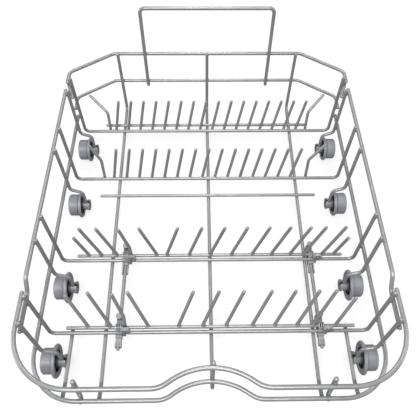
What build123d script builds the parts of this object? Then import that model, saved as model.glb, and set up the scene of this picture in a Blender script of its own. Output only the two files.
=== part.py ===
from build123d import *
import math
import os

os.makedirs("parts", exist_ok=True)

# Lower basket of a slim dishwasher. Millimetres, +X right, +Y to the back, +Z up.
# The origin lies on the floor under the middle of the basket.

# wire diameters
RAIL_D = 4.6
WALL_D = 4.3
TINE_D = 3.9
BAR_D = 4.0
WELD_GAP = 0.03
TIP_ROUND = 0.85

# heights of the wire centres
FLOOR_Z = 32.0
RAIL_Z = 127.0
LOWER_RAIL_Z = 62.5
BACK_LOWER_Z = 79.0
TIP_Z = 134.0
HANDLE_Z = 200.5

# side walls: distance of the cross wires from the middle, at the floor and at the tips
FLOOR_HALF_W = 180.0
TIP_HALF_W = 181.0
CROSS_BEND_R = 7.0

# where the cross wires and the wheels stand along the depth, from the back to the front
CROSS_Y = [170.5, 81.0, -47.0, -140.0]
WHEEL_Y = [146.0, 46.5, -77.0, -167.5]

# front wall
FRONT_Y = -227.5
FRONT_LOWER_Y = -222.0
FRONT_CORNER_R = 58.0
LOWER_CORNER_R = 50.0
WAVE_HALF_W = 55.0
WAVE_DEPTH = 18.0
WAVE_OUTER_R = 26.0
FRONT_OVERLAP_Y = -132.0
SIDE_DIP = 14.0
SIDE_DIP_FROM_Y = -117.0
SIDE_DIP_TO_Y = -128.0
RAIL_BEND_R = 9.0
RAIL_PAST_WIRE = 3.0
SIDE_RAIL_PAST = 10.0

# back wall
BACK_Y = 227.5
BACK_FLAT_HALF_W = 130.0
BACK_LOWER_FLAT_HALF_W = 134.0
BACK_CORNER_Y = 189.0
BACK_LOWER_CORNER_Y = 192.0
BACK_BEND_R = 11.0
BACK_LEG_PAST = 3.0
HANDLE_HALF_W = 86.0
HANDLE_BEND_R = 6.5
HANDLE_END_Z = 73.5
LINK_DROP = 5.5

# wires along the depth
LONG_BACK_X = 123.5
LONG_FRONT_X = 118.0
LONG_END_X = 112.0
LONG_BEND_R = 7.0
LONG_RISE_Y = -196.0
LONG_TOP_Z = 131.0
CENTRE_TOP_Z = 129.0
CENTRE_FRONT_X = 2.0
CENTRE_FOOT_OUT = 3.5
CENTRE_GAP = 0.1
STRUT_X = 157.0
STRUT_END_X = 149.0
STRUT_BACK_Y = -133.0
UPRIGHT_LEFT_X = -120.7
UPRIGHT_RIGHT_X = 108.8
UPRIGHT_SPREAD = 10.0
UPRIGHT_TOP_Z = 139.5
HOOK_GAP = 0.3
HOOK_PAST = 1.7
HOOK_R = 3.2

# bars on the floor
FLOOR_BAR_Y = 52.0
FLOOR_BAR_HALF_W = 145.5
ROW_BAR_Y = 182.5
ROW_BAR_HALF_W = 151.0

# fixed tines: number, first foot, pitch, and the way from foot to tip
ROW_COUNTS = [16, 15]
ROW_FIRST_X = [-135.0, -130.0]
ROW_PITCH = [17.8, 17.5]
FIXED_TINE_LEAN = 9.6
FIXED_TINE_BACK = 6.0
FIXED_TINE_RISE = 50.5
FIXED_TINE_DROP = 1.0
BENT_FOOT_X = [[-143.5, 146.5], [-143.0, 136.5]]
BENT_KNEE_RISE = 30.0
BENT_END_X = 169.0
BENT_BEND_R = 8.0
BENT_FREE_X = 155.0
BENT_FREE_RISE = 57.0

# folding racks
RACK_BACK = 4.7
RACK_UP = 3.3
RACK_ROD_LEFT = -163.0
RACK_ROD_RIGHT = 166.0
REAR_TINE_LEAN = 16.5
REAR_TINE_RISE = 61.5
REAR_RACK_TILT = 0.0
FRONT_TINE_LEAN = 18.3
FRONT_TINE_RISE = 59.0
FRONT_RACK_TILT = 15.4
REAR_FEET_LEFT = [-147.6, -132.0, -113.0, -64.1]
REAR_FEET_RIGHT = [-52.0, -24.3, 2.0, 28.0, 53.7, 77.5, 101.0, 118.2, 141.0, 155.5]
REAR_SHORT = [0.68, 0.62]
FRONT_FEET_LEFT = [-137.6, -112.0, -69.6]
FRONT_FEET_RIGHT = [-35.5, -8.0, 18.5, 48.4, 73.9, 99.4, 117.4, 144.0]
FRONT_SHORT = [0.93, 0.8]
KNEE_RISE = 20.0
KNEE_R = 7.0

# wires that carry the rack clips
LINK_LEFT_X = -103.5
LINK_RIGHT_X = 127.0
LINK_BACK_Y = -25.0
LINK_FRONT_Y = -159.3

# rack clips
ROD_CLEARANCE = 0.07
CLIP_SEAT = 0.03
SADDLE_W = 6.6
SADDLE_R = 4.3
CLAMP_W = 7.4
CLAMP_H = 6.4
CLAMP_BACK = 15.0
CLAMP_FRONT = 10.0
CAP_D = 6.0
CAP_HEAD_D = 7.4
CAP_HEAD_H = 2.2
CAP_BACK = 12.5
CAP_TOP = 4.6
SLOT_W = 1.2
SLOT_DEPTH = 1.6
DISC_D = 11.5
DISC_T = 4.0
DISC_X = 7.6
DISC_UP = 1.2
DISC_GAP = 0.4
DISC_HOLE_D = 3.2
DISC_HOLE_DEPTH = 1.5
DISC_RING_D = 7.0
DISC_RING_T = 0.8
PRONG_T = 1.6
PRONG_H = 4.4
PRONG_LENGTH = 11.5
NOSE_LENGTH = 5.5
NOSE_ROUND = 1.2
NOSE_GROOVE_W = 0.9
NOSE_GROOVE_DEPTH = 0.6
NOSE_GROOVE_SPACING = 2.4
NOSE_GAP = 5.0

# wheels and carriers
AXLE_Z = 19.0
TREAD_D = 29.0
FRONT_FLANGE_D = 38.0
REAR_FLANGE_D = 34.0
FLANGE_T = 4.0
TREAD_W = 13.0
WHEEL_OUTER_X = 187.3
RIM_T = 2.4
WEB_T = 2.6
WEB_IN = 7.0
HUB_D = 13.0
AXLE_D = 8.0
AXLE_CLEARANCE = 0.06
WEB_HOLES = 6
WEB_HOLE_D = 2.6
WEB_HOLE_RING_D = 18.5
EDGE_BEVEL = 1.2
FACE_DEPTH = 1.6
DISH_DEPTH = 1.0
DISH_RIM = 2.4
GROOVE_W = 1.2
GROOVE_DEPTH = 0.6
FACE_RIM = 3.0
SIDE_PLAY = 0.4
SNAP_D = 9.6
SNAP_T = 1.2
SNAP_POCKET_DEPTH = 2.2
SNAP_POCKET_D = 10.6
CARRIER_D = 13.4
CARRIER_W = 8.8
COLLAR_D = 15.0
COLLAR_T = 2.0
NOTCH_W = 3.4
WIRE_DROP_IN = 4.4
WIRE_END_BELOW_AXLE = 1.5
WHEEL_WIRE_TURN_RISE = 21.5
WHEEL_WIRE_DROP_RISE = 15.5
WHEEL_WIRE_R = 7.0

LONG_Z = FLOOR_Z - WALL_D - WELD_GAP
RAIL_SEAT = (WALL_D + RAIL_D) / 2 + WELD_GAP
BOTH_ENDS = (0, -1)


def side_x(z):
    """Distance of a side wall wire from the middle at the height z."""
    return FLOOR_HALF_W + (TIP_HALF_W - FLOOR_HALF_W) * (z - FLOOR_Z) / (TIP_Z - FLOOR_Z)


def rail_x(z):
    """Distance of a rail that lies on the outside of the wall wires."""
    return side_x(z) + RAIL_SEAT


def bent_path(points, radii):
    """Straight lines through the points, with a bend of the given radius at each inner point."""
    spots = [Vector(*p) for p in points]
    if isinstance(radii, (int, float)):
        radii = [radii] * (len(spots) - 2)
    edges = []
    start = spots[0]
    for before, corner, after, radius in zip(spots, spots[1:], spots[2:], radii):
        back = (before - corner).normalized()
        ahead = (after - corner).normalized()
        half = math.radians(back.get_angle(ahead)) / 2
        inward = (back + ahead).normalized()
        first = corner + back * (radius / math.tan(half))
        last = corner + ahead * (radius / math.tan(half))
        middle = corner + inward * (radius / math.sin(half) - radius)
        edges.append(Line(start, first).edge())
        edges.append(ThreePointArc(first, middle, last).edge())
        start = last
    edges.append(Line(start, spots[-1]).edge())
    return Wire(edges)


def wire(points, diameter, radii=0.0, domes=()):
    """A round wire bent through the points, with a domed tip at the points numbered in domes."""
    path = bent_path(points, radii)
    section = Plane(origin=path @ 0, z_dir=path % 0) * Circle(diameter / 2)
    body = sweep(section, path=path)
    for number in domes:
        body = domed(body, points[number], diameter)
    return body


def straight(start, end, diameter, domes=(-1,)):
    """A straight piece of round wire, with a domed tip at the points numbered in domes."""
    way = Vector(*end) - Vector(*start)
    body = extrude(Plane(origin=start, z_dir=way) * Circle(diameter / 2), amount=way.length)
    for number in domes:
        body = domed(body, (start, end)[number], diameter)
    return body


def domed(body, tip, diameter):
    """Rounds the end of a wire at the given point, as its coating does."""
    rims = body.edges().filter_by(GeomType.CIRCLE)
    rim = min(rims, key=lambda edge: (edge.arc_center - Vector(*tip)).length)
    return fillet(rim, TIP_ROUND * diameter / 2)


def rod_along(axis, centre, diameter, length):
    """A round body of the given length, centred on a point, along X, Y or Z."""
    way = {"x": Vector(1, 0, 0), "y": Vector(0, 1, 0), "z": Vector(0, 0, 1)}[axis]
    start = Vector(*centre) - way * (length / 2)
    return extrude(Plane(origin=start, z_dir=way) * Circle(diameter / 2), amount=length)


def block(low, high):
    """A box between two corners."""
    size = [b - a for a, b in zip(low, high)]
    middle = [(a + b) / 2 for a, b in zip(low, high)]
    return Pos(*middle) * Box(*size)


def half_loop(side, x_side, back_y, front_y, corner_r, z):
    """One half of a front rail as edges: side, corner, straight part and the start of the wave."""
    turn = 2 * math.atan2(WAVE_DEPTH, WAVE_HALF_W)
    x_bend = WAVE_HALF_W - WAVE_OUTER_R * math.sin(turn)
    y_bend = front_y + WAVE_OUTER_R * (1 - math.cos(turn))
    x_mid = WAVE_HALF_W - WAVE_OUTER_R * math.sin(turn / 2)
    y_mid = front_y + WAVE_OUTER_R * (1 - math.cos(turn / 2))
    diagonal = corner_r * (1 - math.sqrt(0.5))
    side_back = (side * x_side, back_y, z)
    side_front = (side * x_side, front_y + corner_r, z)
    corner_mid = (side * (x_side - diagonal), front_y + diagonal, z)
    corner_end = (side * (x_side - corner_r), front_y, z)
    wave_start = (side * WAVE_HALF_W, front_y, z)
    wave_mid = (side * x_mid, y_mid, z)
    wave_bend = (side * x_bend, y_bend, z)
    edges = [
        Line(side_back, side_front).edge(),
        ThreePointArc(side_front, corner_mid, corner_end).edge(),
        Line(corner_end, wave_start).edge(),
        ThreePointArc(wave_start, wave_mid, wave_bend).edge(),
    ]
    return edges, wave_bend


def front_rail(x_side, back_y, front_y, corner_r, z):
    """A rail that runs down one side, round the waved front and up the other side."""
    left, left_bend = half_loop(-1, x_side, back_y, front_y, corner_r, z)
    right, right_bend = half_loop(1, x_side, back_y, front_y, corner_r, z)
    peak = ThreePointArc(left_bend, (0, front_y + WAVE_DEPTH, z), right_bend).edge()
    path = Wire(left + [peak] + right[::-1], sequenced=True)
    section = Plane(origin=(-x_side, back_y, z), z_dir=(0, -1, 0)) * Circle(RAIL_D / 2)
    body = sweep(section, path=path)
    for side in (-1, 1):
        body = domed(body, (side * x_side, back_y, z), RAIL_D)
    return body


def side_rail(side):
    """A top side rail; its front end dips to lie under the end of the front rail."""
    low_z = RAIL_Z - SIDE_DIP
    back_y = WHEEL_Y[0] + SIDE_RAIL_PAST
    front_y = WHEEL_Y[3] - RAIL_PAST_WIRE
    points = [
        (side * rail_x(RAIL_Z), back_y, RAIL_Z),
        (side * rail_x(RAIL_Z), SIDE_DIP_FROM_Y, RAIL_Z),
        (side * rail_x(low_z), SIDE_DIP_TO_Y, low_z),
        (side * rail_x(low_z), front_y, low_z),
    ]
    return wire(points, RAIL_D, RAIL_BEND_R, BOTH_ENDS)


def back_rail(z, flat_half, corner_y, diameter):
    """A back rail with cut-off corners; its legs end on the outside of the rear cross wire."""
    x = side_x(z) + (WALL_D + diameter) / 2 + WELD_GAP
    end_y = CROSS_Y[0] - BACK_LEG_PAST
    points = [
        (-x, end_y, z),
        (-x, corner_y, z),
        (-flat_half, BACK_Y, z),
        (flat_half, BACK_Y, z),
        (x, corner_y, z),
        (x, end_y, z),
    ]
    return wire(points, diameter, BACK_BEND_R, BOTH_ENDS)


def back_handle():
    """The tall loop on the inner side of both back rails."""
    y = BACK_Y - RAIL_D - WELD_GAP
    points = [
        (-HANDLE_HALF_W, y, HANDLE_END_Z),
        (-HANDLE_HALF_W, y, HANDLE_Z),
        (HANDLE_HALF_W, y, HANDLE_Z),
        (HANDLE_HALF_W, y, HANDLE_END_Z),
    ]
    return wire(points, RAIL_D, HANDLE_BEND_R, BOTH_ENDS)


def cross_wire(y):
    """A wire that makes both side walls and one line of the floor."""
    points = [
        (-TIP_HALF_W, y, TIP_Z),
        (-FLOOR_HALF_W, y, FLOOR_Z),
        (FLOOR_HALF_W, y, FLOOR_Z),
        (TIP_HALF_W, y, TIP_Z),
    ]
    return wire(points, WALL_D, CROSS_BEND_R, BOTH_ENDS)


def carrier_wire_x():
    """Distance from the middle of the wire end inside a wheel carrier."""
    return carrier_outer_x() - WIRE_DROP_IN


def carrier_outer_x():
    """Distance from the middle of the carrier shoulder beside the wheel."""
    return WHEEL_OUTER_X - TREAD_W - FLANGE_T - SIDE_PLAY


def wheel_wire(side, y):
    """A wall wire that turns in over its wheel and drops into the carrier."""
    turn_z = FLOOR_Z + WHEEL_WIRE_TURN_RISE
    points = [
        (side * TIP_HALF_W, y, TIP_Z),
        (side * side_x(turn_z), y, turn_z),
        (side * carrier_wire_x(), y, FLOOR_Z + WHEEL_WIRE_DROP_RISE),
        (side * carrier_wire_x(), y, AXLE_Z - WIRE_END_BELOW_AXLE),
    ]
    return wire(points, WALL_D, WHEEL_WIRE_R, [0])


def long_wire(side):
    """A side wire of the floor: down the back wall, along under the cross wires, up to the lower rail."""
    y_back = BACK_Y - (RAIL_D + WALL_D) / 2 - WELD_GAP
    end_z = LOWER_RAIL_Z - (RAIL_D + WALL_D) / 2 * math.sqrt(0.5)
    end_y = FRONT_LOWER_Y + (RAIL_D + WALL_D) / 2 * math.sqrt(0.5)
    points = [
        (side * LONG_BACK_X, y_back, LONG_TOP_Z),
        (side * LONG_BACK_X, y_back, LONG_Z),
        (side * LONG_FRONT_X, LONG_RISE_Y, LONG_Z),
        (side * LONG_END_X, end_y + WELD_GAP, end_z - WELD_GAP),
    ]
    return wire(points, WALL_D, LONG_BEND_R, [0])


def centre_wire():
    """The middle wire of the floor: down the back wall, along, and up behind both front rails."""
    y_back = BACK_Y - (RAIL_D + WALL_D) / 2 - WELD_GAP
    seat = (RAIL_D + WALL_D) / 2 + CENTRE_GAP
    y_top = FRONT_Y + WAVE_DEPTH + seat
    y_low = FRONT_LOWER_Y + WAVE_DEPTH + seat
    slope = (y_top - y_low) / (RAIL_Z - LOWER_RAIL_Z)
    points = [
        (0, y_back, LONG_TOP_Z),
        (0, y_back, LONG_Z),
        (CENTRE_FRONT_X, y_low - CENTRE_FOOT_OUT, LONG_Z),
        (CENTRE_FRONT_X, y_low, LOWER_RAIL_Z),
        (CENTRE_FRONT_X, y_low + slope * (CENTRE_TOP_Z - LOWER_RAIL_Z), CENTRE_TOP_Z),
    ]
    return wire(points, WALL_D, LONG_BEND_R, BOTH_ENDS)


def lower_rail_y(x):
    """Depth of the lower rail at a distance x from the middle, in its corner."""
    across = x - (rail_x(LOWER_RAIL_Z) - LOWER_CORNER_R)
    if across <= 0:
        return FRONT_LOWER_Y
    return FRONT_LOWER_Y + LOWER_CORNER_R - math.sqrt(LOWER_CORNER_R ** 2 - across ** 2)


def front_strut(side):
    """A short floor wire from the front cross wire up to the lower rail."""
    seat = (RAIL_D + WALL_D) / 2 * math.sqrt(0.5)
    end_z = LOWER_RAIL_Z - seat - WELD_GAP
    end_y = lower_rail_y(STRUT_END_X) + seat + WELD_GAP
    points = [
        (side * STRUT_X, STRUT_BACK_Y, LONG_Z),
        (side * STRUT_X, LONG_RISE_Y, LONG_Z),
        (side * STRUT_END_X, end_y, end_z),
    ]
    return wire(points, WALL_D, LONG_BEND_R, [0])


def front_upright(side):
    """A short leaning wire on the inner side of both front rails, hooked under the lower one."""
    slope = (FRONT_LOWER_Y - FRONT_Y) / (LOWER_RAIL_Z - RAIL_Z)
    seat = (RAIL_D + WELD_GAP) * math.hypot(1, slope)
    foot_z = LOWER_RAIL_Z - RAIL_D - HOOK_GAP
    top_y = FRONT_Y + seat + slope * (UPRIGHT_TOP_Z - RAIL_Z)
    foot_y = FRONT_Y + seat + slope * (foot_z - RAIL_Z)
    top_x = UPRIGHT_LEFT_X if side < 0 else UPRIGHT_RIGHT_X
    foot_x = top_x + side * UPRIGHT_SPREAD
    points = [
        (top_x, top_y, UPRIGHT_TOP_Z),
        (foot_x, foot_y, foot_z),
        (foot_x, FRONT_LOWER_Y - HOOK_PAST, foot_z),
    ]
    return wire(points, RAIL_D, HOOK_R, BOTH_ENDS)


def corner_link(side):
    """A short wire from the outside of the rear cross wire to the inside of the rear wheel wire."""
    z = RAIL_Z - LINK_DROP
    step = side_x(z)
    seat = (WALL_D + BAR_D) / 2
    run = CROSS_Y[0] - WHEEL_Y[0]
    angle = math.asin(2 * (seat + WELD_GAP) / run)
    way = Vector(-side * math.sin(angle), -math.cos(angle), 0)
    middle = Vector(side * step, (CROSS_Y[0] + WHEEL_Y[0]) / 2, z)
    reach = run / 2 + WALL_D / 2
    return straight(tuple(middle - way * reach), tuple(middle + way * reach), BAR_D, BOTH_ENDS)


def cross_bar(y, half_width):
    """A straight bar that lies on the wires of the floor."""
    z = LONG_Z + (WALL_D + BAR_D) / 2 + WELD_GAP
    return straight((-half_width, y, z), (half_width, y, z), BAR_D, BOTH_ENDS)


def fixed_row(index):
    """The fixed tines of one row, on the back of their cross wire, with a bent tine at each end."""
    y = CROSS_Y[index] + (WALL_D + TINE_D) / 2 + WELD_GAP
    foot_z = FLOOR_Z - FIXED_TINE_DROP
    back_per_rise = FIXED_TINE_BACK / FIXED_TINE_RISE
    bodies = []
    for number in range(ROW_COUNTS[index]):
        x = ROW_FIRST_X[index] + number * ROW_PITCH[index]
        tip = (x + FIXED_TINE_LEAN, y + FIXED_TINE_BACK, FLOOR_Z + FIXED_TINE_RISE)
        bodies.append(straight((x, y, foot_z), tip, TINE_D))
    for side, x in zip((-1, 1), BENT_FOOT_X[index]):
        knee = (x, y + back_per_rise * BENT_KNEE_RISE, FLOOR_Z + BENT_KNEE_RISE)
        if index == 0:
            end = bent_tine_end(side)
        else:
            free_y = y + back_per_rise * BENT_FREE_RISE
            end = (side * BENT_FREE_X, free_y, FLOOR_Z + BENT_FREE_RISE)
        bodies.append(wire([(x, y, foot_z), knee, end], TINE_D, BENT_BEND_R, [-1]))
    return bodies


def bent_tine_end(side):
    """The point where an outer tine of the rear row meets the cut corner of the lower back rail."""
    corner_x = side_x(BACK_LOWER_Z) + WALL_D + WELD_GAP
    share = (corner_x - BENT_END_X) / (corner_x - BACK_LOWER_FLAT_HALF_W)
    rail_y = BACK_LOWER_CORNER_Y + share * (BACK_Y - BACK_LOWER_CORNER_Y)
    seat = (WALL_D + TINE_D) / 2 + WELD_GAP
    return (side * BENT_END_X, rail_y - seat * math.sqrt(2), BACK_LOWER_Z)


def rack_axis(cross_y):
    """Depth and height of the turning axis of a rack beside its cross wire."""
    return cross_y + RACK_BACK, FLOOR_Z + RACK_UP


def rack_rod(cross_y):
    """The rod on which a folding rack turns."""
    y, z = rack_axis(cross_y)
    return straight((RACK_ROD_LEFT, y, z), (RACK_ROD_RIGHT, y, z), BAR_D, BOTH_ENDS)


def rack_tine(x, lean, rise, share):
    """A tine that stands on a rod along the X axis, leaning left or right."""
    way = Vector(lean, 0, rise).normalized()
    length = math.hypot(lean, rise) * share
    foot = BAR_D / 2 + WELD_GAP + TINE_D / 2 * abs(way.X) / way.Z
    low = Vector(x, 0, foot)
    return straight(tuple(low), tuple(low + way * length), TINE_D)


def knee_tine(x, lean, rise):
    """A tine that rises straight past the stop disc of a clip and leans only above it."""
    foot = BAR_D / 2 + WELD_GAP
    points = [(x, 0, foot), (x, 0, KNEE_RISE), (x + lean, 0, rise)]
    return wire(points, TINE_D, KNEE_R, [-1])


def rack_tines(cross_y, left, right, shorts, lean, rise, tilt):
    """All the tines of one folding rack, tilted to the back about the rod."""
    bodies = [knee_tine(LINK_LEFT_X + DISC_X, -lean / 2, rise)]
    for x in left:
        share = shorts[0] if x == left[0] else 1.0
        bodies.append(rack_tine(x, -lean, rise, share))
    for x in right:
        share = shorts[1] if x == right[-1] else 1.0
        bodies.append(rack_tine(x, lean, rise, share))
    y, z = rack_axis(cross_y)
    return [Pos(0, y, z) * (Rot(-tilt, 0, 0) * body) for body in bodies]


def link_wire(x):
    """A short floor wire under the two front cross wires that carries two rack clips."""
    return straight((x, LINK_BACK_Y, LONG_Z), (x, LINK_FRONT_Y, LONG_Z), WALL_D, BOTH_ENDS)


def rack_clip(x, cross_y, nose):
    """A clip on a link wire: clamp, bearing saddle for the rack rod, cap, stop disc and prongs or nose."""
    y, z = rack_axis(cross_y)
    clamp_top = LONG_Z + CLAMP_H / 2
    clamp_low = LONG_Z - CLAMP_H / 2
    body = block(
        (x - CLAMP_W / 2, y - CLAMP_FRONT, clamp_low),
        (x + CLAMP_W / 2, y + CLAMP_BACK, clamp_top),
    )
    body += rod_along("x", (x, y, z), 2 * SADDLE_R, SADDLE_W)
    body += block(
        (x - SADDLE_W / 2, y - SADDLE_R - RACK_BACK / 2, clamp_low),
        (x + SADDLE_W / 2, y + SADDLE_R, z),
    )
    cap_middle = (clamp_top + z + CAP_TOP) / 2
    cap_height = z + CAP_TOP - clamp_top
    body += rod_along("z", (x, y + CAP_BACK, cap_middle), CAP_D, cap_height)
    body += rod_along("z", (x, y + CAP_BACK, z + CAP_TOP - CAP_HEAD_H / 2), CAP_HEAD_D, CAP_HEAD_H)
    disc_back = y - TINE_D / 2 - DISC_GAP
    disc_y = disc_back - DISC_T / 2
    body += rod_along("y", (x + DISC_X, disc_y, z + DISC_UP), DISC_D, DISC_T)
    body += block((x, disc_y - DISC_T / 2, clamp_low), (x + DISC_X, disc_y + DISC_T / 2, z))
    ring_front = disc_y - DISC_T / 2 - DISC_RING_T
    body += rod_along("y", (x + DISC_X, ring_front + DISC_T / 2, z + DISC_UP), DISC_RING_D, DISC_T)
    hole_y = ring_front + DISC_HOLE_DEPTH / 2
    body -= rod_along("y", (x + DISC_X, hole_y, z + DISC_UP), DISC_HOLE_D, DISC_HOLE_DEPTH)
    body += clip_front(x, y, nose)
    for shift in (-1, 1):
        slot_x = x + shift * SLOT_W
        body -= block(
            (slot_x - SLOT_W / 2, y - SADDLE_R, z + SADDLE_R - SLOT_DEPTH),
            (slot_x + SLOT_W / 2, y + SADDLE_R, z + SADDLE_R),
        )
    reach = LINK_BACK_Y - LINK_FRONT_Y
    body -= rod_along("y", (x, y, LONG_Z), WALL_D + 2 * CLIP_SEAT, reach)
    body -= rod_along("x", (x, cross_y, FLOOR_Z), WALL_D + 2 * CLIP_SEAT, reach)
    body -= rod_along("x", (x, y, z), BAR_D + 2 * ROD_CLEARANCE, reach)
    return body


def clip_front(x, y, nose):
    """The front of a clip: a nose round the wire end, or two prongs beside the wire."""
    start = y - CLAMP_FRONT
    if nose:
        neck = block(
            (x - SADDLE_W / 2, start - NOSE_GAP, LONG_Z - PRONG_H / 2),
            (x + SADDLE_W / 2, start, LONG_Z + PRONG_H / 2),
        )
        head = block(
            (x - CLAMP_W / 2, start - NOSE_GAP - NOSE_LENGTH, LONG_Z - CLAMP_H / 2),
            (x + CLAMP_W / 2, start - NOSE_GAP, LONG_Z + CLAMP_H / 2),
        )
        head = fillet(head.edges().filter_by(Axis.Y), NOSE_ROUND)
        head_top = LONG_Z + CLAMP_H / 2
        for shift in (-1, 1):
            groove_x = x + shift * NOSE_GROOVE_SPACING / 2
            groove_low = head_top - NOSE_GROOVE_DEPTH
            head -= block(
                (groove_x - NOSE_GROOVE_W / 2, start - NOSE_GAP - NOSE_LENGTH, groove_low),
                (groove_x + NOSE_GROOVE_W / 2, start - NOSE_GAP, head_top),
            )
        return neck + head
    prongs = None
    for side in (-1, 1):
        outer = x + side * CLAMP_W / 2
        inner = outer - side * PRONG_T
        low = (min(outer, inner), start - PRONG_LENGTH, LONG_Z - PRONG_H / 2)
        high = (max(outer, inner), start, LONG_Z + PRONG_H / 2)
        prong = block(low, high)
        prongs = prong if prongs is None else prongs + prong
    return prongs


def turned(profile):
    """A body turned about the X axis from points given as distance from the middle and radius."""
    face = make_face(Polyline(*[(x, r) for x, r in profile], close=True))
    return revolve(face, Axis.X)


def wheel(side, y, flange_d):
    """A wheel: tread outside, larger flange inside, hollow on both faces, web with small holes."""
    outer = WHEEL_OUTER_X
    flange_out = outer - TREAD_W
    inner = flange_out - FLANGE_T
    tread_r = TREAD_D / 2
    flange_r = flange_d / 2
    bore_r = AXLE_D / 2 + AXLE_CLEARANCE
    hollow_r = tread_r - RIM_T
    hub_r = HUB_D / 2
    web_x = inner + WEB_IN
    pocket_r = SNAP_POCKET_D / 2
    pocket_x = outer - FACE_DEPTH - SNAP_POCKET_DEPTH
    profile = [
        (inner, bore_r),
        (inner, hub_r),
        (web_x, hub_r),
        (web_x, hollow_r),
        (inner + DISH_DEPTH, hollow_r),
        (inner, flange_r - DISH_RIM),
        (inner, flange_r - EDGE_BEVEL),
        (inner + EDGE_BEVEL, flange_r),
        (flange_out - EDGE_BEVEL, flange_r),
        (flange_out, flange_r - EDGE_BEVEL),
        (flange_out, tread_r - GROOVE_DEPTH),
        (flange_out + GROOVE_W, tread_r - GROOVE_DEPTH),
        (flange_out + GROOVE_W, tread_r),
        (outer - EDGE_BEVEL, tread_r),
        (outer, tread_r - EDGE_BEVEL),
        (outer, tread_r - FACE_RIM),
        (outer - FACE_DEPTH, tread_r - FACE_RIM - EDGE_BEVEL),
        (outer - FACE_DEPTH, pocket_r),
        (pocket_x, pocket_r),
        (pocket_x, bore_r),
    ]
    body = turned(profile)
    for number in range(WEB_HOLES):
        angle = 2 * math.pi * number / WEB_HOLES
        spot = WEB_HOLE_RING_D / 2
        centre = (web_x + WEB_T / 2, spot * math.cos(angle), spot * math.sin(angle))
        body -= rod_along("x", centre, WEB_HOLE_D, WEB_T)
    return placed_on_axle(body, side, y)


def wheel_carrier(side, y):
    """The plug that holds a wheel: stub axle with a snap head, body with a wire socket, notched collar."""
    shoulder = carrier_outer_x()
    end = shoulder - CARRIER_W
    pocket_x = WHEEL_OUTER_X - FACE_DEPTH - SNAP_POCKET_DEPTH
    snap_in = pocket_x + SIDE_PLAY
    snap_out = snap_in + SNAP_T
    axle_r = AXLE_D / 2
    snap_r = SNAP_D / 2
    body_r = CARRIER_D / 2
    collar_r = COLLAR_D / 2
    profile = [
        (end, 0),
        (end, collar_r),
        (end + COLLAR_T, collar_r),
        (end + COLLAR_T, body_r),
        (shoulder, body_r),
        (shoulder, axle_r),
        (snap_in, axle_r),
        (snap_in, snap_r),
        (snap_out, snap_r - SNAP_T / 2),
        (snap_out, 0),
    ]
    body = turned(profile)
    socket_x = carrier_wire_x()
    socket_d = WALL_D + 2 * CLIP_SEAT
    bottom = -WIRE_END_BELOW_AXLE - CLIP_SEAT
    body -= rod_along("z", (socket_x, 0, bottom + COLLAR_D / 2), socket_d, COLLAR_D)
    body -= block((end, -NOTCH_W / 2, 0), (socket_x, NOTCH_W / 2, COLLAR_D))
    return placed_on_axle(body, side, y)


def placed_on_axle(body, side, y):
    """Moves a body turned about the X axis to its axle, mirrored for the left side."""
    if side < 0:
        body = mirror(body, about=Plane.YZ)
    return Pos(0, y, AXLE_Z) * body


def write(name, *bodies):
    """Writes one sub-part, each of its bodies as a separate solid."""
    solids = []
    for body in bodies:
        solids.extend(body.solids())
    shape = solids[0] if len(solids) == 1 else Compound(children=solids)
    shape.label = name
    export_step(shape, os.path.join("parts", name + ".step"))


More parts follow.
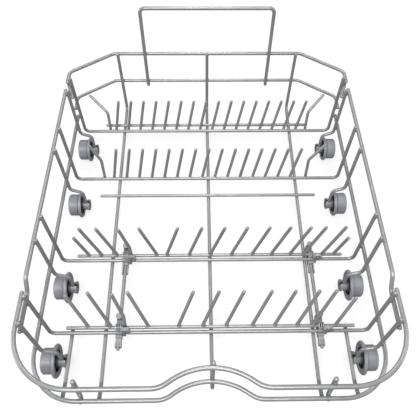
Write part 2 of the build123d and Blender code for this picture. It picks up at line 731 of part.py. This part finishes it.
def main():
    top_x = rail_x(RAIL_Z)
    write("front_top_rail", front_rail(top_x, FRONT_OVERLAP_Y, FRONT_Y, FRONT_CORNER_R, RAIL_Z))
    lower_x = rail_x(LOWER_RAIL_Z)
    lower_back_y = CROSS_Y[0] + RAIL_PAST_WIRE
    write("lower_rail", front_rail(lower_x, lower_back_y, FRONT_LOWER_Y, LOWER_CORNER_R, LOWER_RAIL_Z))
    write("back_top_rail", back_rail(RAIL_Z, BACK_FLAT_HALF_W, BACK_CORNER_Y, RAIL_D))
    write("back_lower_rail", back_rail(BACK_LOWER_Z, BACK_LOWER_FLAT_HALF_W, BACK_LOWER_CORNER_Y, WALL_D))
    write("back_handle", back_handle())
    write("long_wire_centre", centre_wire())
    write("floor_bar", cross_bar(FLOOR_BAR_Y, FLOOR_BAR_HALF_W))
    write("row_bar", cross_bar(ROW_BAR_Y, ROW_BAR_HALF_W))
    for number, y in enumerate(CROSS_Y, 1):
        write(f"cross_wire_{number}", cross_wire(y))
    for index in range(len(ROW_COUNTS)):
        write(f"fixed_tines_{index + 1}", *fixed_row(index))
    for word, side in (("left", -1), ("right", 1)):
        write(f"side_rail_{word}", side_rail(side))
        write(f"long_wire_{word}", long_wire(side))
        write(f"front_strut_{word}", front_strut(side))
        write(f"front_upright_{word}", front_upright(side))
        write(f"corner_link_{word}", corner_link(side))
        for number, y in enumerate(WHEEL_Y, 1):
            flange_d = REAR_FLANGE_D if number <= 2 else FRONT_FLANGE_D
            write(f"wheel_wire_{word}_{number}", wheel_wire(side, y))
            write(f"wheel_carrier_{word}_{number}", wheel_carrier(side, y))
            write(f"wheel_{word}_{number}", wheel(side, y, flange_d))
    rear_y = CROSS_Y[2]
    front_y = CROSS_Y[3]
    write("rear_rack_rod", rack_rod(rear_y))
    write("front_rack_rod", rack_rod(front_y))
    rear_feet = (REAR_FEET_LEFT, REAR_FEET_RIGHT, REAR_SHORT)
    rear_shape = (REAR_TINE_LEAN, REAR_TINE_RISE, REAR_RACK_TILT)
    write("rear_rack_tines", *rack_tines(rear_y, *rear_feet, *rear_shape))
    front_feet = (FRONT_FEET_LEFT, FRONT_FEET_RIGHT, FRONT_SHORT)
    front_shape = (FRONT_TINE_LEAN, FRONT_TINE_RISE, FRONT_RACK_TILT)
    write("front_rack_tines", *rack_tines(front_y, *front_feet, *front_shape))
    for word, x in (("left", LINK_LEFT_X), ("right", LINK_RIGHT_X)):
        write(f"link_wire_{word}", link_wire(x))
        write(f"rear_clip_{word}", rack_clip(x, rear_y, False))
        write(f"front_clip_{word}", rack_clip(x, front_y, True))


main()
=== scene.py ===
import math

import bmesh
import bpy
from mathutils import Matrix, Vector
from mathutils.bvhtree import BVHTree


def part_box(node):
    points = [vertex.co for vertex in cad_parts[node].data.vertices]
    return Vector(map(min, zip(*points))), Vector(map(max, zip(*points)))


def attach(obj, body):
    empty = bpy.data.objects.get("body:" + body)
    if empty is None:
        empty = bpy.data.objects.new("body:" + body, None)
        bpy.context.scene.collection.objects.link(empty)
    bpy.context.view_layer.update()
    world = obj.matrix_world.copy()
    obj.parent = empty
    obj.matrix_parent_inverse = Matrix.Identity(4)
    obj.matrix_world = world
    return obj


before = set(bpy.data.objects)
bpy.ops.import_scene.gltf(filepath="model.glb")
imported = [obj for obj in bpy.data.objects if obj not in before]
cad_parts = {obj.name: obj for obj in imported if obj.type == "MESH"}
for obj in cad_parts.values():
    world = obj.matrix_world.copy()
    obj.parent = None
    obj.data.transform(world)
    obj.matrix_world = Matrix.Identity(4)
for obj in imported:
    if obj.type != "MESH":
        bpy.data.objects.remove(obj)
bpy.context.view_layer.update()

MM = 0.001
WHITE = (1.0, 1.0, 1.0)

# camera of the photograph: place in metres, angles in degrees, lens and sensor in millimetres
CAMERA_PLACE = (-0.0065, -0.3462, 0.5811)
CAMERA_TILT = 34.22
CAMERA_TURN = -1.47
CAMERA_ROLL = 0.853
CAMERA_LENS = 42.857
CAMERA_SENSOR = 36.0
CAMERA_SHIFT = 0.0012
CAMERA_NEAR = 0.01

# lights as name, place, (width, height) and power; all face one spot in the basket
LIGHTS = [
    ("top", (-0.1, -0.65, 1.45), (1.0, 1.0), 30.0),
    ("strip", (0.0, 0.9, 1.4), (0.25, 1.2), 10.0),
    ("left", (-1.4, -0.1, 0.5), (0.8, 0.8), 9.0),
    ("right", (1.4, -0.1, 0.5), (0.8, 0.8), 7.0),
    ("front", (-0.35, -0.9, 0.95), (0.4, 0.4), 2.0),
]
LIGHT_TARGET = Vector((0.0, 0.0, 50 * MM))
SKY_STRENGTH = 0.26

# pale floor and the dome round it
FLOOR_DARK = (0.19, 0.19, 0.19)
FLOOR_LIGHT = (0.20, 0.20, 0.20)
FLOOR_CLOUD_SCALE = 3.0
FLOOR_CLOUD_DETAIL = 2.0
FLOOR_CLOUD_STOPS = (0.3, 0.7)
FLOOR_ROUGHNESS = 0.9
FLOOR_GLOSS = 0.1
FLOOR_GLOW = 0.74
FLOOR_GAP = 0.5 * MM
DOME_R = 6.0
DOME_SEGMENTS = 64
DOME_RINGS = 32

# surface detail that the coating and all plastics share
CLOUD_SCALE = 55.0
CLOUD_DETAIL = 4.0
CLOUD_STOPS = (0.32, 0.68)
PATCH_SCALE = 140.0
PATCH_DETAIL = 3.0
GRAIN_DETAIL = 3.0
GRAIN_ROUGHNESS = 0.6
GRAIN_HEIGHT = 0.3 * MM
COAT_ROUGHNESS = 0.15
CORNER_SAMPLES = 8
CORNER_STOPS = (0.25, 0.85)

# finish of each material: two tones, range of roughness, grain, clear coat and shade in corners
FINISHES = {
    "coated_wire": dict(
        low=(0.170, 0.173, 0.176), high=(0.206, 0.209, 0.211), roughness=(0.24, 0.36),
        grain_scale=1900.0, grain=0.10, coat=1.0, corner_dark=(0.35, 0.35, 0.36), corner_reach=6 * MM,
    ),
    "wheel_plastic": dict(
        low=(0.195, 0.197, 0.222), high=(0.250, 0.252, 0.278), roughness=(0.34, 0.50),
        grain_scale=1500.0, grain=0.12, coat=0.3, corner_dark=(0.02, 0.02, 0.023), corner_reach=18 * MM,
    ),
    "carrier_plastic": dict(
        low=(0.175, 0.177, 0.193), high=(0.225, 0.227, 0.242), roughness=(0.36, 0.52),
        grain_scale=1500.0, grain=0.12, coat=0.3, corner_dark=(0.05, 0.05, 0.055), corner_reach=10 * MM,
    ),
    "clip_plastic": dict(
        low=(0.215, 0.217, 0.224), high=(0.275, 0.277, 0.284), roughness=(0.30, 0.42),
        grain_scale=1500.0, grain=0.12, coat=0.5, corner_dark=(0.01, 0.01, 0.012), corner_reach=4 * MM,
    ),
    # near-black plastic for the pieces of painted shade on the clips
    "clip_gap": dict(
        low=(0.012, 0.012, 0.014), high=(0.02, 0.02, 0.022), roughness=(0.6, 0.75),
        grain_scale=1500.0, grain=0.12, coat=0.0, corner_dark=(0.5, 0.5, 0.5), corner_reach=3 * MM,
    ),
}

# weld beads: wires within the reach are welded, and spots within the spread share one bead
BEAD_REACH = 0.35 * MM
BEAD_NEAR = 0.12 * MM
BEAD_SPREAD = 4.0 * MM
BEAD_STEP = 1.0 * MM
BEAD_R = 2.3 * MM
BEAD_HALF_T = 1.0 * MM
BEAD_SEGMENTS = 14
BEAD_RINGS = 8
BOX_MARGIN = 1.0 * MM

# ribs inside a wheel
RIB_COUNT = 6
RIB_T = 1.5 * MM
RIB_INNER_R = 6.2 * MM
RIB_OUTER_R = 12.4 * MM
RIB_FROM = 2.2 * MM
RIB_DEPTH = 5.2 * MM

# painted shade on a rack clip: dark pieces in the saddle slots, under the cap and on the stop disc, measured
# from the crossing of link wire and rack rod
SLOT_X = 1.2 * MM
SLOT_FLOOR = 2.7 * MM
SLOT_SIZE = (1.16 * MM, 5.6 * MM, 0.5 * MM)
CAP_BACK = 12.5 * MM
CAP_NECK = 2.7 * MM
CAP_GAP_R = 3.65 * MM
CAP_GAP_T = 2.0 * MM
CAP_GAP_SEGMENTS = 24
DISC_X = 7.6 * MM
DISC_UP = 1.2 * MM
HOLE_FRONT = 5.75 * MM
HOLE_R = 1.55 * MM
HOLE_T = 0.2 * MM
HOLE_SEGMENTS = 20
BAR_X = 1.7 * MM
BAR_FRONT = 4.35 * MM
BAR_TOP = 5.8 * MM - BAR_X / 3
BAR_SIZE = (1.3 * MM, 4.1 * MM, 3.4 * MM)


def new_material(name):
    """A new material; returns it with its node tree and its principled shader."""
    material = bpy.data.materials.new(name)
    material.use_nodes = True
    tree = material.node_tree
    return material, tree, tree.nodes["Principled BSDF"]


def noise(tree, coords, scale, detail, roughness=0.5):
    """Soft noise from 0 to 1."""
    node = tree.nodes.new("ShaderNodeTexNoise")
    node.inputs["Scale"].default_value = scale
    node.inputs["Detail"].default_value = detail
    node.inputs["Roughness"].default_value = roughness
    tree.links.new(coords, node.inputs["Vector"])
    return node.outputs["Fac"]


def ramp(tree, value, stops, colours):
    """A colour ramp between two colours, each at its stop."""
    node = tree.nodes.new("ShaderNodeValToRGB")
    for element, stop, colour in zip(node.color_ramp.elements, stops, colours):
        element.position = stop
        element.color = (*colour, 1.0)
    tree.links.new(value, node.inputs["Fac"])
    return node.outputs["Color"]


def spread(tree, value, low, high):
    """Maps a 0 to 1 value to a range."""
    node = tree.nodes.new("ShaderNodeMapRange")
    node.inputs["To Min"].default_value = low
    node.inputs["To Max"].default_value = high
    tree.links.new(value, node.inputs["Value"])
    return node.outputs["Result"]


def darker_in_corners(tree, colour, reach, dark):
    """Multiplies a colour by a soft shade where surfaces lie close together."""
    occlusion = tree.nodes.new("ShaderNodeAmbientOcclusion")
    occlusion.samples = CORNER_SAMPLES
    occlusion.inputs["Distance"].default_value = reach
    shade = ramp(tree, occlusion.outputs["AO"], CORNER_STOPS, (dark, WHITE))
    mix = tree.nodes.new("ShaderNodeMix")
    mix.data_type = "RGBA"
    mix.blend_type = "MULTIPLY"
    mix.inputs["Factor"].default_value = 1.0
    tree.links.new(colour, mix.inputs["A"])
    tree.links.new(shade, mix.inputs["B"])
    return mix.outputs["Result"]


def bump(tree, height, strength):
    """Fine relief from a 0 to 1 height."""
    node = tree.nodes.new("ShaderNodeBump")
    node.inputs["Strength"].default_value = strength
    node.inputs["Distance"].default_value = GRAIN_HEIGHT
    tree.links.new(height, node.inputs["Height"])
    return node.outputs["Normal"]


def plastic(name, low, high, roughness, grain_scale, grain, coat, corner_dark, corner_reach):
    """A plastic or coating: two tones in soft clouds, uneven gloss, fine grain and shaded corners."""
    material, tree, shader = new_material(name)
    coords = tree.nodes.new("ShaderNodeTexCoord").outputs["Object"]
    clouds = noise(tree, coords, CLOUD_SCALE, CLOUD_DETAIL)
    colour = ramp(tree, clouds, CLOUD_STOPS, (low, high))
    colour = darker_in_corners(tree, colour, corner_reach, corner_dark)
    tree.links.new(colour, shader.inputs["Base Color"])
    patches = noise(tree, coords, PATCH_SCALE, PATCH_DETAIL)
    tree.links.new(spread(tree, patches, *roughness), shader.inputs["Roughness"])
    fine = noise(tree, coords, grain_scale, GRAIN_DETAIL, GRAIN_ROUGHNESS)
    tree.links.new(bump(tree, fine, grain), shader.inputs["Normal"])
    shader.inputs["Coat Weight"].default_value = coat
    shader.inputs["Coat Roughness"].default_value = COAT_ROUGHNESS
    return material


def nodes_named(*starts):
    """The part's nodes whose names begin with one of the given words, in order of name."""
    return [node for name, node in sorted(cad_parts.items()) if name.startswith(starts)]


def dress(nodes, material):
    """Gives nodes their material."""
    for node in nodes:
        node.data.materials.clear()
        node.data.materials.append(material)


def add_object(name, shape, material):
    """Turns a finished shape into an object of the scene."""
    mesh = bpy.data.meshes.new(name)
    shape.to_mesh(mesh)
    shape.free()
    mesh.materials.append(material)
    item = bpy.data.objects.new(name, mesh)
    bpy.context.scene.collection.objects.link(item)
    return item


def add_piece(name, shape, body, material, smooth=False):
    """Adds a shape as a visual piece that rides on a body."""
    item = add_object(name, shape, material)
    for polygon in item.data.polygons:
        polygon.use_smooth = smooth
    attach(item, body)


def add_box(shape, place, size):
    """Adds a box to a shape, with its middle at the given place."""
    bmesh.ops.create_cube(shape, size=1.0, matrix=place @ Matrix.Diagonal((*size, 1.0)))


def add_plate(shape, place, radius, thickness, segments):
    """Adds a round plate to a shape, with its middle at the given place."""
    bmesh.ops.create_cone(
        shape, cap_ends=True, segments=segments, radius1=radius, radius2=radius, depth=thickness,
        matrix=place,
    )


def surface_points(node):
    """Points along the edges of a node's mesh, close together."""
    places = [vertex.co for vertex in node.data.vertices]
    for edge in node.data.edges:
        start, end = (places[index] for index in edge.vertices)
        steps = max(1, int((end - start).length / BEAD_STEP))
        for number in range(steps):
            yield start.lerp(end, number / steps)


def surface_tree(node):
    """A search tree over the triangles of a node's mesh."""
    mesh = node.data
    mesh.calc_loop_triangles()
    triangles = [tuple(triangle.vertices) for triangle in mesh.loop_triangles]
    return BVHTree.FromPolygons([vertex.co for vertex in mesh.vertices], triangles)


def apart(first_box, second_box):
    """Whether two boxes, given by their lowest and highest corners, lie further apart than the margin."""
    (a_low, a_high), (b_low, b_high) = first_box, second_box
    return any(a_low[i] > b_high[i] + BOX_MARGIN or b_low[i] > a_high[i] + BOX_MARGIN for i in range(3))


def contacts(first, second_box, second_tree):
    """Spots where the first node comes close to the second: list of (middle, normal)."""
    groups = []
    for point in surface_points(first):
        if apart((point, point), second_box):
            continue
        spot, normal, _, distance = second_tree.find_nearest(point, BEAD_REACH)
        if spot is None:
            continue
        entry = (distance, spot, normal)
        for entries in groups:
            if (entries[0][1] - spot).length < BEAD_SPREAD:
                entries.append(entry)
                break
        else:
            groups.append([entry])
    found = []
    for entries in groups:
        nearest = min(distance for distance, _, _ in entries)
        close = [entry for entry in entries if entry[0] < nearest + BEAD_NEAR]
        middle = sum((spot for _, spot, _ in close), Vector()) / len(close)
        normal = sum((normal for _, _, normal in close), Vector()).normalized()
        found.append((middle, normal))
    return found


def weld_beads(name, nodes, body, material):
    """One flat bead at every crossing of the given wires, all in one mesh."""
    boxes = {node.name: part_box(node.name) for node in nodes}
    trees = {node.name: surface_tree(node) for node in nodes}
    size = Matrix.Diagonal((BEAD_R, BEAD_R, BEAD_HALF_T, 1.0))
    shape = bmesh.new()
    for index, first in enumerate(nodes):
        for second in nodes[index + 1:]:
            if apart(boxes[first.name], boxes[second.name]):
                continue
            for middle, normal in contacts(first, boxes[second.name], trees[second.name]):
                turn = normal.to_track_quat("Z", "Y").to_matrix().to_4x4()
                bmesh.ops.create_uvsphere(
                    shape, u_segments=BEAD_SEGMENTS, v_segments=BEAD_RINGS, radius=1.0,
                    matrix=Matrix.Translation(middle) @ turn @ size,
                )
    add_piece(name, shape, body, material, smooth=True)


def wheel_ribs(node, material):
    """Radial ribs between hub and rim in the hollow inner face of a wheel."""
    low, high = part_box(node.name)
    centre = (low + high) / 2
    side = 1 if centre.x > 0 else -1
    inner_x = low.x if side > 0 else high.x
    middle_x = inner_x + side * (RIB_FROM + RIB_DEPTH / 2)
    middle = Matrix.Translation((middle_x, centre.y, centre.z))
    reach = Matrix.Translation((0, 0, (RIB_OUTER_R + RIB_INNER_R) / 2))
    size = (RIB_DEPTH, RIB_T, RIB_OUTER_R - RIB_INNER_R)
    shape = bmesh.new()
    for number in range(RIB_COUNT):
        turn = Matrix.Rotation(2 * math.pi * (number + 0.5) / RIB_COUNT, 4, "X")
        add_box(shape, middle @ turn @ reach, size)
    add_piece(node.name + "_ribs", shape, node.name, material)


def add_clip_painted_shade(node, link, rod, material):
    """Dark pieces of painted shade on a clip: in its saddle slots, under its cap and on its stop disc."""
    crossing = sum(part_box(rod), Vector()) / 2
    crossing.x = sum(corner.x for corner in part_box(link)) / 2

    def at(x, y, z):
        return Matrix.Translation(crossing + Vector((x, y, z)))

    shape = bmesh.new()
    # near-black boxes and plates of painted shade, set flush on the clip where its recesses fall into shade
    for x in (-SLOT_X, SLOT_X):
        add_box(shape, at(x, 0, SLOT_FLOOR + SLOT_SIZE[2] / 2), SLOT_SIZE)
    add_plate(shape, at(0, CAP_BACK, CAP_NECK - CAP_GAP_T / 2), CAP_GAP_R, CAP_GAP_T, CAP_GAP_SEGMENTS)
    upright = Matrix.Rotation(math.pi / 2, 4, "X")
    add_plate(shape, at(DISC_X, -HOLE_FRONT, DISC_UP) @ upright, HOLE_R, HOLE_T, HOLE_SEGMENTS)
    for x in (DISC_X - BAR_X, DISC_X + BAR_X):
        add_box(shape, at(x, -BAR_FRONT, DISC_UP + BAR_TOP - BAR_SIZE[2] / 2), BAR_SIZE)
    add_piece(node.name + "_gaps", shape, "basket", material)


def backdrop():
    """A pale floor in a pale dome, which glow a little but neither light, shade nor mirror in the basket."""
    material, tree, shader = new_material("pale_backdrop")
    coords = tree.nodes.new("ShaderNodeTexCoord").outputs["Object"]
    clouds = noise(tree, coords, FLOOR_CLOUD_SCALE, FLOOR_CLOUD_DETAIL)
    tone = ramp(tree, clouds, FLOOR_CLOUD_STOPS, (FLOOR_DARK, FLOOR_LIGHT))
    tree.links.new(tone, shader.inputs["Base Color"])
    shader.inputs["Roughness"].default_value = FLOOR_ROUGHNESS
    shader.inputs["Specular IOR Level"].default_value = FLOOR_GLOSS
    shader.inputs["Emission Color"].default_value = (*WHITE, 1.0)
    shader.inputs["Emission Strength"].default_value = FLOOR_GLOW
    shape = bmesh.new()
    lowered = Matrix.Translation((0, 0, -FLOOR_GAP))
    bmesh.ops.create_circle(shape, cap_ends=True, segments=DOME_SEGMENTS, radius=DOME_R, matrix=lowered)
    bmesh.ops.create_uvsphere(shape, u_segments=DOME_SEGMENTS, v_segments=DOME_RINGS, radius=DOME_R)
    item = add_object("backdrop", shape, material)
    item.visible_glossy = False
    item.visible_diffuse = False
    item.visible_shadow = False


def area_light(name, place, size, power):
    """A rectangular light that faces the basket."""
    data = bpy.data.lights.new(name, "AREA")
    data.shape = "RECTANGLE"
    data.size, data.size_y = size
    data.energy = power
    item = bpy.data.objects.new(name, data)
    item.location = place
    item.rotation_euler = (LIGHT_TARGET - Vector(place)).to_track_quat("-Z", "Y").to_euler()
    bpy.context.scene.collection.objects.link(item)


def studio():
    """A dim even sky and the soft lights."""
    world = bpy.data.worlds.new("studio")
    bpy.context.scene.world = world
    world.use_nodes = True
    background = world.node_tree.nodes["Background"]
    background.inputs["Color"].default_value = (*WHITE, 1.0)
    background.inputs["Strength"].default_value = SKY_STRENGTH
    for light in LIGHTS:
        area_light(*light)
    bpy.context.scene.view_settings.view_transform = "Standard"


def camera():
    """The camera at the photograph's angle."""
    data = bpy.data.cameras.new("camera")
    data.lens = CAMERA_LENS
    data.sensor_width = CAMERA_SENSOR
    data.shift_x = -CAMERA_SHIFT
    data.shift_y = CAMERA_SHIFT
    data.clip_start = CAMERA_NEAR
    item = bpy.data.objects.new("camera", data)
    turn = Matrix.Rotation(math.radians(CAMERA_TURN), 4, "Z")
    tilt = Matrix.Rotation(math.radians(CAMERA_TILT), 4, "X")
    roll = Matrix.Rotation(math.radians(CAMERA_ROLL), 4, "Z")
    item.matrix_world = Matrix.Translation(CAMERA_PLACE) @ turn @ tilt @ roll
    bpy.context.scene.collection.objects.link(item)
    bpy.context.scene.camera = item


def main():
    materials = {name: plastic(name, **finish) for name, finish in FINISHES.items()}
    wire_grey = materials["coated_wire"]
    wheels = nodes_named("wheel_left_", "wheel_right_")
    carriers = nodes_named("wheel_carrier_")
    clips = nodes_named("rear_clip_", "front_clip_")
    racks = {body: nodes_named(body + "_") for body in ("rear_rack", "front_rack")}
    rack_wires = racks["rear_rack"] + racks["front_rack"]
    others = set(wheels + carriers + clips + rack_wires)
    fixed_wires = [node for node in nodes_named("") if node not in others]
    dress(wheels, materials["wheel_plastic"])
    dress(carriers, materials["carrier_plastic"])
    dress(clips, materials["clip_plastic"])
    dress(fixed_wires + rack_wires, wire_grey)
    weld_beads("basket_beads", fixed_wires, "basket", wire_grey)
    for body, nodes in racks.items():
        weld_beads(body + "_beads", nodes, body, wire_grey)
    for node in wheels:
        wheel_ribs(node, materials["wheel_plastic"])
    for node in clips:
        rack, _, side = node.name.split("_")
        # painted shade pieces on each clip
        add_clip_painted_shade(node, "link_wire_" + side, rack + "_rack_rod", materials["clip_gap"])
    backdrop()
    studio()
    camera()


main()
